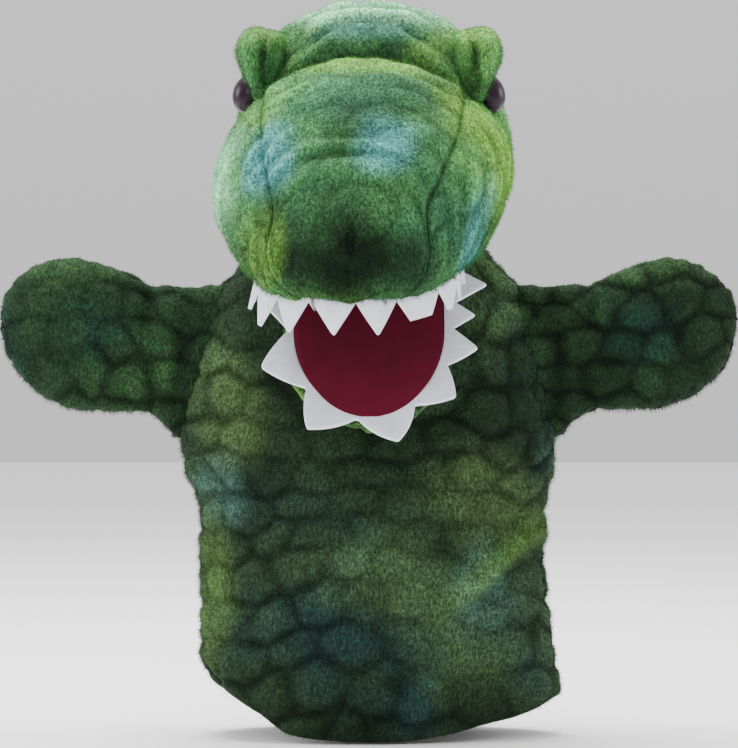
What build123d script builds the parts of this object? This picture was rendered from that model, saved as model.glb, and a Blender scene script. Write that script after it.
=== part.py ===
from build123d import *
import os
from math import cos, radians, sin, tan

# Moving mouth hand puppet of a large-jawed dinosaur: a plush sleeve that stands on its hem, a stuffed
# head worked by the fingers, a lower jaw worked by the thumb, and two stuffed arms.
# Millimetres. +Z is up, the puppet faces -Y, and the origin is the centre of the hem opening.
# "left" is -X, which is on the left when the puppet is seen from the front.

# ------------------------------------------------------------------ driving dimensions
PLUSH = 3.5  # pile fabric, pile included
FELT = 1.5  # mouth linings and teeth
LINING = 0.8  # thin woven lining
BOARD = 1.6  # stiffener inside each half of the mouth

MOUTH_Y = -22.0  # the mouth's crease, about which both jaws turn
MOUTH_Z = 184.0
UPPER_PITCH = 12.5  # how far the palate points below the horizon at rest
LOWER_PITCH = 52.0  # the same for the floor of the mouth

LIP_HALF = 39.5  # upper lip: half width, where its sides stop being straight, and how long its end is
LIP_STRAIGHT = 40.0
LIP_END = 57.0
TONGUE_HALF = 29.5  # floor of the mouth, in the same terms
TONGUE_STRAIGHT = 38.0
TONGUE_END = 41.0

NECK_Y = 10.0  # the neck's centre, about which the head turns
NECK_Z = 186.0
NECK_HALF_WIDTH = 42.5
NECK_HALF_DEPTH = 22.0

ARM_ROOT_TOP = (65.0, 168.0)  # the shoulder seam, as (x, z)
ARM_ROOT_LOW = (74.5, 115.0)
ARM_Y = 5.0

EYE_RADIUS = 7.2
EYE_AT = (-45.0, -28.0, 243.0)
EYE_FACING = (-0.93, -0.25, 0.2)
STEM_RADIUS = 2.0
STEM_LENGTH = 16.0

# Cross-sections of the sleeve: height, half width, half depth, centre in Y
SLEEVE = [
    (0, 68, 38, 0),
    (50, 66, 38, 0),
    (90, 66, 36.5, 0.5),
    (112, 69, 35, 2),
    (130, 69, 31, 4),
    (150, 66, 26.5, 7),
    (168, 60, 25.5, 8.5),
    (178, 51, 23.5, 10),
    (184, 45, 22.5, 10),
]

# Cross-sections of the head from the nape to the nose: y, half width, height of the widest line,
# height of the top, depth of the lower half below the widest line
HEAD = [
    (40, 26, 215, 252, 60),
    (30, 40, 206, 267, 60),
    (12, 49, 201, 277, 60),
    (-8, 50, 200, 280, 60),
    (-24, 52, 201, 274, 48),
    (-34, 53, 201, 265, 42),
    (-42, 53, 202, 254, 39),
    (-52, 55, 202, 255.5, 37),
    (-62, 54.5, 200, 251, 36.5),
    (-74, 51, 196, 243, 35),
    (-90, 44, 188, 229, 31),
    (-105, 34.5, 180, 212, 21),
    (-114, 22, 174, 196, 13),
    (-118, 8, 170, 181, 9),
]

# Cross-sections of the chin: distance from the crease, half width, depth under the tongue
CHIN = [
    (3, 27.5, 7),
    (20, 29.5, 15),
    (42, 29.5, 19),
    (60, 25, 17),
    (71, 16.5, 11),
    (78, 5, 4),
]

# Cross-sections of an arm from shoulder to tip: x, centre height, half height, half thickness
ARM = [
    (62, 142, 29, 2.4),
    (74, 145, 27, 3.6),
    (84, 148, 25, 7.5),
    (96, 151, 26.5, 11),
    (114, 154, 28, 12.5),
    (127, 155.5, 24, 10),
    (135, 157, 17, 6.5),
    (142, 158, 7, 3.6),
]


def mouth_frame(pitch, x_sign):
    """A plane on the crease: its y runs forward along the jaw, and its z points away from the mouth's inside."""
    forward = Vector(0, -cos(radians(pitch)), -sin(radians(pitch)))
    x_dir = Vector(x_sign, 0, 0)
    return Plane(origin=(0, MOUTH_Y, MOUTH_Z), x_dir=x_dir, z_dir=x_dir.cross(forward))


def across(frame, along):
    """The plane across a jaw at a distance forward of the crease. Its y points into the mouth."""
    return Plane(
        origin=frame.origin + frame.y_dir * along,
        x_dir=frame.x_dir,
        z_dir=frame.y_dir,
    )


UPPER = mouth_frame(UPPER_PITCH, -1)
LOWER = mouth_frame(LOWER_PITCH, 1)


def jaw_outline(half, straight, end, start=0.0):
    """The face of a jaw in plan: two straight sides from the crease and a half ellipse at the front."""
    with BuildSketch(mode=Mode.PRIVATE) as outline:
        with BuildLine():
            Line((-half, start), (-half, straight))
            EllipticalCenterArc((0, straight), half, end, start_angle=0, arc_size=180)
            Line((half, straight), (half, start))
            Line((half, start), (-half, start))
        make_face()
    return outline.sketch


def jaw_plate(frame, near, thickness, half, straight, end, start):
    """A flat piece of a jaw, from near to near + thickness away from the inside of the mouth."""
    with BuildPart() as plate:
        with BuildSketch(frame.offset(near)):
            add(jaw_outline(half, straight, end, start))
        extrude(amount=thickness)
    return plate.part


def write(piece, name):
    piece.label = name
    export_step(piece, f"parts/{name}.step")


os.makedirs("parts", exist_ok=True)


# ------------------------------------------------------------------ sleeve (body "torso")
FRONT = 180
BACK = 0
THROAT_HALF = 40.0  # the opening in the front panel that the thumb goes through
THROAT_Z = 162.0
LINING_GAP = 0.1
LINING_HEM = 12.0  # the lining starts above the hem's turning


def sleeve_half(facing, inset, thickness):
    """Half of a sleeve layer, from one side seam to the other."""
    with BuildPart() as layer:
        for z, half_width, half_depth, y in SLEEVE:
            wide = half_width - inset
            deep = half_depth - inset
            with BuildSketch(Plane.XY.offset(z)):
                with BuildLine():
                    EllipticalCenterArc((0, y), wide, deep, start_angle=facing, arc_size=180)
                    Line((wide, y), (wide - thickness, y))
                    EllipticalCenterArc(
                        (0, y), wide - thickness, deep - thickness, start_angle=facing, arc_size=180
                    )
                    Line((thickness - wide, y), (-wide, y))
                make_face()
        loft(ruled=True)
    return layer.part


with BuildPart() as throat:
    with BuildSketch(Plane.XZ.offset(-NECK_Y)):
        with BuildLine():
            Line((-THROAT_HALF, THROAT_Z), (-THROAT_HALF, NECK_Z + 4))
            Line((-THROAT_HALF, NECK_Z + 4), (THROAT_HALF, NECK_Z + 4))
            Line((THROAT_HALF, NECK_Z + 4), (THROAT_HALF, THROAT_Z))
            EllipticalCenterArc((0, THROAT_Z), THROAT_HALF, 16, start_angle=180, arc_size=180)
        make_face()
    extrude(amount=60)

with BuildPart() as body_front_panel:
    add(sleeve_half(FRONT, 0, PLUSH))
    add(throat.part, mode=Mode.SUBTRACT)

with BuildPart() as sleeve_lining_front:
    add(sleeve_half(FRONT, PLUSH + LINING_GAP, LINING))
    split(bisect_by=Plane.XY.offset(LINING_HEM), keep=Keep.TOP)
    add(throat.part, mode=Mode.SUBTRACT)

with BuildPart() as sleeve_lining_back:
    add(sleeve_half(BACK, PLUSH + LINING_GAP, LINING))
    split(bisect_by=Plane.XY.offset(LINING_HEM), keep=Keep.TOP)

write(body_front_panel.part, "body_front_panel")
write(sleeve_half(BACK, 0, PLUSH), "body_back_panel")
write(sleeve_lining_front.part, "sleeve_lining_front")
write(sleeve_lining_back.part, "sleeve_lining_back")

# ------------------------------------------------------------------ neck (body "neck")
NECK_RISE = 20.0  # how much higher the collar is at the nape than at the throat
NECK_LOW = 3.0
COLLAR = 3.0


def neck_solid(inset):
    """A tube's solid round the neck, whose top slopes up towards the nape."""
    with BuildPart() as solid:
        with BuildSketch(Plane.XY.offset(NECK_Z)):
            with Locations((0, NECK_Y)):
                Ellipse(NECK_HALF_WIDTH - inset, NECK_HALF_DEPTH - inset)
        extrude(amount=NECK_LOW + NECK_RISE + 5)
        front = NECK_Y - NECK_HALF_DEPTH
        slope = NECK_RISE / (2 * NECK_HALF_DEPTH)
        top = Plane(origin=(0, front, NECK_Z + NECK_LOW), x_dir=(1, 0, 0), z_dir=(0, -slope, 1))
        split(bisect_by=top, keep=Keep.BOTTOM)
    return solid.part


with BuildPart() as neck_collar:
    add(neck_solid(0))
    add(neck_solid(COLLAR), mode=Mode.SUBTRACT)

with BuildPart() as neck_lining:
    add(neck_solid(COLLAR))
    add(neck_solid(COLLAR + LINING), mode=Mode.SUBTRACT)

write(neck_collar.part, "neck_collar")
write(neck_lining.part, "neck_lining")

# ------------------------------------------------------------------ head and upper jaw (body "head")
NAPE_ANGLE = 29.0  # the head's lower edge rises this steeply behind the crease, so that it can tip back
HEAD_GAP = 2.0
GUSSET_NOSE = 20.0  # half width of the centre gusset at the nose and over the brow
GUSSET_BROW = 36.0
NOSE_Y = HEAD[-1][0]
NAPE_Y = HEAD[0][0]


def head_solid(inset):
    middle = (NOSE_Y + NAPE_Y) / 2
    shrink = 1 - 2 * inset / (NAPE_Y - NOSE_Y)
    with BuildPart() as solid:
        for y, half, widest, top, below in HEAD:
            with BuildSketch(Plane.XZ.offset(-(middle + (y - middle) * shrink))):
                with BuildLine():
                    EllipticalCenterArc(
                        (0, widest), half - inset, top - widest - inset, start_angle=0, arc_size=180
                    )
                    EllipticalCenterArc(
                        (0, widest), half - inset, below, start_angle=180, arc_size=180
                    )
                make_face()
        loft(ruled=True)
    return solid.part


def above_mouth(lift, behind=True):
    """The space over the palate, lift above it, and over the head's lower edge behind the crease."""
    reach = 140.0
    front_low = (-reach, MOUTH_Z - (reach + MOUTH_Y) * tan(radians(UPPER_PITCH)) + lift)
    crease = (MOUTH_Y, MOUTH_Z + lift)
    back_low = (60.0, MOUTH_Z + HEAD_GAP + (60.0 - MOUTH_Y) * tan(radians(NAPE_ANGLE)))
    with BuildPart() as space:
        with BuildSketch(Plane.YZ.offset(-80)):
            with BuildLine():
                if behind:
                    Polyline(front_low, crease, back_low, (60, 300), (-reach, 300), close=True)
                else:
                    Polyline(front_low, crease, (MOUTH_Y, 300), (-reach, 300), close=True)
            make_face()
        extrude(amount=160)
    return space.part


head_outer = head_solid(0)
head_inner = head_solid(PLUSH)

with BuildPart() as head_shell:
    add(head_outer)
    add(head_inner, mode=Mode.SUBTRACT)
    add(above_mouth(0), mode=Mode.INTERSECT)

with BuildPart() as gusset_space:
    with BuildSketch(Plane.XY.offset(140)):
        with BuildLine():
            Polyline(
                (-GUSSET_NOSE, -125), (-GUSSET_BROW, -50), (-GUSSET_BROW + 3, 50),
                (GUSSET_BROW - 3, 50), (GUSSET_BROW, -50), (GUSSET_NOSE, -125), close=True,
            )
        make_face()
    extrude(amount=150)

# Eyes: a domed button on a ribbed stem, held inside the head by a washer
WASHER_RADIUS = 7.0
WASHER_DEPTH = 10.5  # from the eye's seat
WASHER = 1.5
DOME = 4.6


def eye_plane():
    """The left eye's seat, its z facing out of the head."""
    facing = Vector(*EYE_FACING).normalized()
    return Plane(origin=EYE_AT, z_dir=facing)


def eye_room(radius, start, length):
    """A round space about the left eye's axis, from start inwards when length is negative."""
    with BuildPart() as room:
        with BuildSketch(eye_plane().offset(start)):
            Circle(radius)
        extrude(amount=length)
    return room.part


def mirrored(piece):
    """The same piece for the right side."""
    with BuildPart() as other:
        add(piece)
        mirror(about=Plane.YZ, mode=Mode.REPLACE)
    return other.part


def write_pair(piece, name):
    """The left piece and its mirror image, name holding the place of the side."""
    write(piece, name.format("left"))
    write(mirrored(piece), name.format("right"))


seat = eye_plane()
with BuildPart() as eye:
    with BuildSketch(Plane(origin=seat.origin, x_dir=seat.x_dir, z_dir=seat.y_dir)):
        with BuildLine():
            Line((0, -DOME), (0, 0))
            Line((0, 0), (EYE_RADIUS - 0.6, 0))
            EllipticalCenterArc((EYE_RADIUS - 0.6, -0.6), 0.6, 0.6, start_angle=0, arc_size=90)
            EllipticalCenterArc((0, -0.6), EYE_RADIUS, DOME - 0.6, start_angle=270, arc_size=90)
        make_face()
    revolve(axis=Axis(seat.origin, seat.z_dir))
    with BuildSketch(seat):
        Circle(STEM_RADIUS)
    extrude(amount=-STEM_LENGTH)
    for rib in (12.5, 14.0):
        with BuildSketch(seat.offset(-rib)):
            Circle(STEM_RADIUS + 0.3)
        extrude(amount=-0.5)

with BuildPart() as eye_washer:
    with BuildSketch(seat.offset(-WASHER_DEPTH)):
        Circle(WASHER_RADIUS)
        Circle(STEM_RADIUS + 0.05, mode=Mode.SUBTRACT)
    extrude(amount=-WASHER)

NOSE_STITCH_Z = 189.0
with BuildPart() as nose_stitch:
    with BuildSketch(Plane.XY.offset(NOSE_STITCH_Z - 4)):
        with Locations((0, NOSE_Y + 2.6)):
            Circle(0.9)
    extrude(amount=8)
    fillet(nose_stitch.edges(), 0.4)

with BuildPart() as head_gusset:
    add(head_shell.part)
    add(gusset_space.part, mode=Mode.INTERSECT)
    add(nose_stitch.part, mode=Mode.SUBTRACT)

BROW_AT = (-39.5, -24.0, 256.0)
BROW_LENGTH = 21.0
BROW_RADIUS = 11.0

with BuildPart() as head_side:
    add(head_shell.part)
    add(gusset_space.part, mode=Mode.SUBTRACT)
    split(bisect_by=Plane.YZ, keep=Keep.BOTTOM)
    add(eye_room(EYE_RADIUS + 0.1, -1, 13), mode=Mode.SUBTRACT)
    add(eye_room(STEM_RADIUS + 0.1, 0, -STEM_LENGTH), mode=Mode.SUBTRACT)

with BuildPart() as brow:
    for step in range(-5, 6):
        swell = cos(radians(16.5 * step))
        with BuildSketch(Plane.XZ.offset(-BROW_AT[1] + BROW_LENGTH * sin(radians(16.5 * step)))):
            with Locations((BROW_AT[0], BROW_AT[2])):
                Circle(BROW_RADIUS * swell)
    loft(ruled=True)
    add(head_outer, mode=Mode.SUBTRACT)
    add(eye_room(EYE_RADIUS + 0.6, -2, 20), mode=Mode.SUBTRACT)

write_pair(head_side.part, "head_side_{}")
write_pair(brow.part, "brow_{}")
write_pair(eye.part, "eye_{}")
write_pair(eye_washer.part, "eye_washer_{}")
write(head_gusset.part, "head_gusset")
write(nose_stitch.part, "nose_stitch")

# The palate: felt lining, board and the pocket for four fingers
POCKET_HALF = 32.0
POCKET_STRAIGHT = 44.0
POCKET_END = 36.0
POCKET_HEIGHT = 23.0
PALATE_START = 2.0
NECK_SWEEP = 61.0  # the collar stays within this distance of the crease

with BuildPart() as palate_lining:
    add(head_inner)
    add(above_mouth(0, behind=False), mode=Mode.INTERSECT)
    split(bisect_by=UPPER.offset(FELT), keep=Keep.BOTTOM)
    split(bisect_by=Plane.XZ.offset(-(MOUTH_Y - PALATE_START)), keep=Keep.TOP)

upper_mouth_board = jaw_plate(UPPER, FELT, BOARD, 30, 40, 34, PALATE_START + 2)
pocket_floor = FELT + BOARD
pocket_outer = jaw_plate(
    UPPER, pocket_floor, POCKET_HEIGHT, POCKET_HALF, POCKET_STRAIGHT, POCKET_END, PALATE_START + 2
)
pocket_inner = jaw_plate(
    UPPER, pocket_floor + LINING, POCKET_HEIGHT - 2 * LINING,
    POCKET_HALF - LINING, POCKET_STRAIGHT, POCKET_END - LINING, 0,
)

with BuildPart() as finger_pocket:
    add(pocket_outer)
    add(pocket_inner, mode=Mode.SUBTRACT)

with BuildPart() as neck_room:
    with BuildSketch(Plane.YZ.offset(-49)):
        with BuildLine():
            EllipticalCenterArc(
                (MOUTH_Y, MOUTH_Z), NECK_SWEEP, NECK_SWEEP, start_angle=-10, arc_size=100
            )
            Line((MOUTH_Y, MOUTH_Z + NECK_SWEEP), (MOUTH_Y - 6, MOUTH_Z + 25))
            Line((MOUTH_Y - 6, MOUTH_Z + 25), (MOUTH_Y - 6, MOUTH_Z - 20))
            end = (
                MOUTH_Y + NECK_SWEEP * cos(radians(-10)),
                MOUTH_Z + NECK_SWEEP * sin(radians(-10)),
            )
            Line((MOUTH_Y - 6, MOUTH_Z - 20), end)
        make_face()
    extrude(amount=98)

with BuildPart() as head_padding:
    add(head_inner)
    add(above_mouth(FELT + 0.05), mode=Mode.INTERSECT)
    add(neck_room.part, mode=Mode.SUBTRACT)
    add(jaw_plate(UPPER, FELT, BOARD, 30, 40, 34, -20), mode=Mode.SUBTRACT)
    add(
        jaw_plate(UPPER, pocket_floor, POCKET_HEIGHT, POCKET_HALF, POCKET_STRAIGHT, POCKET_END, -20),
        mode=Mode.SUBTRACT,
    )
    add(eye_room(WASHER_RADIUS + 0.5, 2, -STEM_LENGTH - 3), mode=Mode.SUBTRACT)
    add(mirrored(eye_room(WASHER_RADIUS + 0.5, 2, -STEM_LENGTH - 3)), mode=Mode.SUBTRACT)

write(palate_lining.part, "palate_lining")
write(upper_mouth_board, "upper_mouth_board")
write(finger_pocket.part, "finger_pocket")
write(head_padding.part, "head_padding")

# Upper teeth: a felt band under the lip with triangular teeth that hang from it
TOOTH_BAND = 2.5


def lip_place(run, half, straight, end):
    """A point and the direction along the lip, run going from -1 at one corner through 0 at the front to 1."""
    side = 1 if run >= 0 else -1
    turned = abs(run) * 150.0  # degrees round the lip; the last 60 run along the straight side
    if turned <= 90:
        angle = radians(turned)
        at = Vector(side * half * sin(angle), straight + end * cos(angle), 0)
        heading = Vector(half * cos(angle), -side * end * sin(angle), 0)
    else:
        at = Vector(side * half, straight - (turned - 90) / 60 * straight, 0)
        heading = Vector(0, -side, 0)
    return at, heading.normalized()


def lip_band(grow):
    return jaw_outline(LIP_HALF + grow, LIP_STRAIGHT, LIP_END + grow, 22)


UPPER_TEETH = [  # place along the lip, half width and length of each tooth
    (-0.80, 6.0, 8.0), (-0.62, 7.0, 10.0), (-0.44, 7.5, 11.0), (-0.27, 7.5, 11.5), (-0.09, 8.0, 12.0),
    (0.09, 8.0, 12.0), (0.27, 7.5, 11.5), (0.44, 7.5, 11.0), (0.62, 7.0, 10.0), (0.80, 6.0, 8.0),
]
with BuildPart() as upper_teeth:
    with BuildSketch(UPPER):
        add(lip_band(-0.2))
        add(lip_band(-0.2 - FELT), mode=Mode.SUBTRACT)
        with Locations((0, 22)):
            Rectangle(2 * (LIP_HALF - 0.2 - FELT), 1, mode=Mode.SUBTRACT)
    extrude(amount=-TOOTH_BAND)
    for run, half_width, length in UPPER_TEETH:
        at, heading = lip_place(run, LIP_HALF - 1.1, LIP_STRAIGHT, LIP_END - 1.1)
        origin = UPPER.from_local_coords(at)
        along = UPPER.from_local_coords(at + heading) - origin
        tooth_plane = Plane(origin=origin, x_dir=along, z_dir=along.cross(UPPER.z_dir))
        down = -1 if (UPPER.from_local_coords(at - Vector(0, 0, 1)) - origin).dot(tooth_plane.y_dir) < 0 else 1
        with BuildSketch(tooth_plane):
            with BuildLine():
                Polyline((-half_width, 0), (half_width, 0), (0, down * length), close=True)
            make_face()
        extrude(amount=FELT / 2, both=True)

write(upper_teeth.part, "upper_teeth")

# ------------------------------------------------------------------ lower jaw (body "jaw")
JAW_START = 3.0


def chin_solid(inset):
    with BuildPart() as solid:
        last = CHIN[-1][0]
        for along, half, depth in CHIN:
            place = JAW_START + (along - JAW_START) * (last - JAW_START - inset) / (last - JAW_START)
            low = max(depth - inset, 1.0)
            with BuildSketch(across(LOWER, place)):
                with BuildLine():
                    EllipticalCenterArc(
                        (0, -FELT), max(half - inset, 2.0), low, start_angle=180, arc_size=180
                    )
                    Line((max(half - inset, 2.0), -FELT), (-max(half - inset, 2.0), -FELT))
                make_face()
        loft(ruled=True)
    return solid.part


THUMB_HALF = 17.0
THUMB_DEPTH = 11.0
chin_outer = chin_solid(0)
chin_inner = chin_solid(PLUSH)
thumb_outer = jaw_plate(LOWER, FELT + BOARD, THUMB_DEPTH, THUMB_HALF, 34, 18, JAW_START)
thumb_inner = jaw_plate(
    LOWER, FELT + BOARD + LINING, THUMB_DEPTH - 2 * LINING, THUMB_HALF - LINING, 34, 18 - LINING, 0
)
tongue_lining = jaw_plate(LOWER, 0, FELT, TONGUE_HALF, TONGUE_STRAIGHT, TONGUE_END, 1)
lower_mouth_board = jaw_plate(LOWER, FELT, BOARD, 21, 36, 22, JAW_START + 1)

with BuildPart() as chin_panel:
    add(chin_outer)
    add(chin_inner, mode=Mode.SUBTRACT)
    add(jaw_plate(LOWER, FELT, BOARD, 21, 36, 22, 0), mode=Mode.SUBTRACT)
    add(jaw_plate(LOWER, FELT, THUMB_DEPTH + BOARD, THUMB_HALF, 34, 18, 0), mode=Mode.SUBTRACT)

with BuildPart() as jaw_padding:
    add(chin_inner)
    add(jaw_plate(LOWER, FELT, BOARD, 21, 36, 22, 0), mode=Mode.SUBTRACT)
    add(jaw_plate(LOWER, FELT, THUMB_DEPTH + BOARD, THUMB_HALF, 34, 18, 0), mode=Mode.SUBTRACT)

with BuildPart() as thumb_pocket:
    add(thumb_outer)
    add(thumb_inner, mode=Mode.SUBTRACT)

# Lower teeth: a flat felt strip that stands out round the tongue, cut into points
LOWER_TOOTH = 7.0
LOWER_VALLEY = 2.0
LOWER_COUNT = 8
with BuildPart() as lower_teeth:
    with BuildSketch(LOWER):
        zigzag = []
        for i in range(2 * LOWER_COUNT + 1):
            reach = LOWER_VALLEY if i % 2 == 0 else LOWER_TOOTH
            at, heading = lip_place(-0.86 + 1.72 * i / (2 * LOWER_COUNT), TONGUE_HALF, TONGUE_STRAIGHT, TONGUE_END)
            outward = Vector(-heading.Y, heading.X, 0)
            point = at + outward * reach
            zigzag.append((point.X, point.Y))
        with BuildLine():
            Polyline(*zigzag, close=True)
        make_face()
        add(jaw_outline(TONGUE_HALF, TONGUE_STRAIGHT, TONGUE_END, -5), mode=Mode.SUBTRACT)
    extrude(amount=FELT)

write(tongue_lining, "tongue_lining")
write(lower_mouth_board, "lower_mouth_board")
write(chin_panel.part, "chin_panel")
write(jaw_padding.part, "jaw_padding")
write(thumb_pocket.part, "thumb_pocket")
write(lower_teeth.part, "lower_teeth")


# ------------------------------------------------------------------ arms (bodies "arm_left" and "arm_right")
ARM_PLUSH = 2.0
QUARTER = 90


def arm_solid(inset, start_angle, arc_size):
    """The left arm, or the half of it that the arc covers, inset from its outside."""
    root = ARM[0][0]
    reach = ARM[-1][0] - root
    with BuildPart() as solid:
        for x, z, half_height, half_thick in ARM:
            place = root + (x - root) * (reach - inset) / reach
            with BuildSketch(Plane.YZ.offset(-place)):
                with BuildLine():
                    EllipticalCenterArc(
                        (ARM_Y, z), max(half_thick - inset, 0.6), half_height - inset,
                        start_angle=start_angle, arc_size=arc_size,
                    )
                    if arc_size < 360:
                        Line((ARM_Y, z - half_height + inset), (ARM_Y, z + half_height - inset))
                make_face()
        loft(ruled=True)
        slope = (ARM_ROOT_LOW[0] - ARM_ROOT_TOP[0]) / (ARM_ROOT_TOP[1] - ARM_ROOT_LOW[1])
        seam = Plane(
            origin=(-ARM_ROOT_TOP[0] - inset, 0, ARM_ROOT_TOP[1]),
            x_dir=(0, 1, 0),
            z_dir=(-1, 0, slope),
        )
        split(bisect_by=seam, keep=Keep.TOP)
    return solid.part


with BuildPart() as arm_front:
    add(arm_solid(0, QUARTER, 180))
    add(arm_solid(ARM_PLUSH, QUARTER, 180), mode=Mode.SUBTRACT)

with BuildPart() as arm_back:
    add(arm_solid(0, -QUARTER, 180))
    add(arm_solid(ARM_PLUSH, -QUARTER, 180), mode=Mode.SUBTRACT)

write_pair(arm_front.part, "arm_{}_front")
write_pair(arm_back.part, "arm_{}_back")
write_pair(arm_solid(ARM_PLUSH, 0, 360), "arm_{}_filling")
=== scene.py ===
import math

import bpy
import numpy as np
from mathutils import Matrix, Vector


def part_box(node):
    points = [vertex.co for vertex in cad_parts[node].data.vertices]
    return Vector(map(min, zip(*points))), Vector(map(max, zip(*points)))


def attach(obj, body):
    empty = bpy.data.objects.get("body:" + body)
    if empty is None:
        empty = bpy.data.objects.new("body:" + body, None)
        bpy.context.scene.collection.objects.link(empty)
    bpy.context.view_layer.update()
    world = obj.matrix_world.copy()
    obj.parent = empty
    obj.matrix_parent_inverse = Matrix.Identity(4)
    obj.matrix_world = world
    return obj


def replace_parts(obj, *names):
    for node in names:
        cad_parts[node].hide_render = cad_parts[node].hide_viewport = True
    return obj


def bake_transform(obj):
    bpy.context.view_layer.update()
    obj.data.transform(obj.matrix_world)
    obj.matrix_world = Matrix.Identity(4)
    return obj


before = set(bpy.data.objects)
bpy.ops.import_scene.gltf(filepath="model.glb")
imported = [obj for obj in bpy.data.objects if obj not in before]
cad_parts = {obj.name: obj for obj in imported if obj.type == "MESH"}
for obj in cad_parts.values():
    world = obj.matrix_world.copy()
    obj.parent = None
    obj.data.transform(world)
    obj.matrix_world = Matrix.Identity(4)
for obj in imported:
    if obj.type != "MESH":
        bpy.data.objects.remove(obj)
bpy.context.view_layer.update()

# Lengths below are millimetres in the frame's axes until a mesh is made.
MM = 0.001


# ------------------------------------------------------------------ shader node helpers
def add_node(tree, kind, **values):
    node = tree.nodes.new(kind)
    for key, value in values.items():
        if key in node.inputs.keys():
            node.inputs[key].default_value = value
        else:
            setattr(node, key, value)
    return node


def ranged(tree, value, source, target):
    """The value, with the range source stretched to the range target."""
    node = add_node(tree, "ShaderNodeMapRange")
    node.inputs["From Min"].default_value, node.inputs["From Max"].default_value = source
    node.inputs["To Min"].default_value, node.inputs["To Max"].default_value = target
    tree.links.new(value, node.inputs["Value"])
    return node.outputs["Result"]


def combined(tree, operation, a, b):
    node = add_node(tree, "ShaderNodeMath", operation=operation)
    tree.links.new(a, node.inputs[0])
    tree.links.new(b, node.inputs[1])
    return node.outputs["Value"]


def brightened(tree, colour, factor):
    node = add_node(tree, "ShaderNodeVectorMath", operation="SCALE")
    tree.links.new(colour, node.inputs[0])
    tree.links.new(factor, node.inputs["Scale"])
    return node.outputs["Vector"]


def relief(tree, bsdf, height, strength, distance):
    node = add_node(tree, "ShaderNodeBump", Strength=strength, Distance=distance)
    tree.links.new(height, node.inputs["Height"])
    tree.links.new(node.outputs["Normal"], bsdf.inputs["Normal"])


# ------------------------------------------------------------------ camera and light
CAMERA_DISTANCE = 1300.0
CAMERA_HEIGHT = 138.0
VIEW_HEIGHT = 287.5  # what the picture takes in at the object's middle
SENSOR = 36
LIGHTS_AIM = (0, 0, 0.14)

cam = bpy.data.objects.new("camera", bpy.data.cameras.new("camera"))
bpy.context.scene.collection.objects.link(cam)
bpy.context.scene.camera = cam
cam.location = (0, -CAMERA_DISTANCE * MM, CAMERA_HEIGHT * MM)
cam.rotation_euler = (math.radians(90), 0, 0)
cam.data.sensor_width = SENSOR
cam.data.lens = SENSOR * CAMERA_DISTANCE / VIEW_HEIGHT
cam.data.clip_start = 0.05
cam.data.clip_end = 20


def area_light(name, place, size, power):
    light = bpy.data.lights.new(name, "AREA")
    light.shape = "DISK"
    light.size = size
    light.energy = power
    lamp = bpy.data.objects.new(name, light)
    bpy.context.scene.collection.objects.link(lamp)
    lamp.location = place
    lamp.rotation_euler = (Vector(LIGHTS_AIM) - Vector(place)).to_track_quat("-Z", "Y").to_euler()


area_light("top", (-0.15, 0.15, 1.25), 0.9, 32)
area_light("left", (-1.25, 0.15, 0.55), 0.7, 9)
area_light("right", (1.25, 0.25, 0.5), 0.7, 7)
area_light("front", (-0.35, -1.5, 0.75), 0.8, 9)

world = bpy.data.worlds.new("studio")
bpy.context.scene.world = world
world.use_nodes = True
sky = world.node_tree
backdrop = sky.nodes["Background"]
backdrop.inputs["Color"].default_value = (1, 1, 1, 1)
direction = sky.nodes.new("ShaderNodeTexCoord")
height = sky.nodes.new("ShaderNodeSeparateXYZ")
sky.links.new(direction.outputs["Generated"], height.inputs[0])
glow = ranged(sky, height.outputs["Z"], (-0.1, 0.7), (0.75, 1.25))
sky.links.new(glow, backdrop.inputs["Strength"])


# ------------------------------------------------------------------ numbers: noise, curves, cells
def scramble(*keys):
    """Repeatable random numbers from 0 to 1 for whole-number keys."""
    n = np.zeros(np.broadcast(*keys).shape, np.uint64)
    for key, prime in zip(keys, (73856093, 19349663, 83492791, 49979687)):
        n ^= np.asarray(key).astype(np.int64).astype(np.uint64) * np.uint64(prime)
    n &= np.uint64(0xFFFFFFFF)
    for _ in range(2):
        n = ((n >> np.uint64(15)) ^ n) * np.uint64(0x2C1B3C6D) & np.uint64(0xFFFFFFFF)
    return ((n >> np.uint64(12)) ^ n).astype(float) % 65536 / 65536


def noise(p, size, seed):
    """Smooth noise from -1 to 1 at points p, its features about size across."""
    q = np.asarray(p, float) / size
    base = np.floor(q)
    f = q - base
    f = f * f * f * (f * (f * 6 - 15) + 10)
    base = base.astype(np.int64)
    total = np.zeros(q.shape[:-1])
    for dx in (0, 1):
        for dy in (0, 1):
            for dz in (0, 1):
                weight = (
                    (f[..., 0] if dx else 1 - f[..., 0])
                    * (f[..., 1] if dy else 1 - f[..., 1])
                    * (f[..., 2] if dz else 1 - f[..., 2])
                )
                corner = base + (dx, dy, dz)
                total += weight * scramble(corner[..., 0], corner[..., 1], corner[..., 2], seed)
    return total * 2 - 1


def layered(p, size, seed):
    """Three sheets of noise, each half as large and half as strong as the one before."""
    return sum(noise(p, size / 2**k, seed + k) / 2**k for k in range(3)) / 1.75


def smooth(x, lo, hi):
    t = np.clip((np.asarray(x, float) - lo) / (hi - lo), 0, 1)
    return t * t * (3 - 2 * t)


def bump(x, width):
    return np.exp(-((x / width) ** 2))


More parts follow.
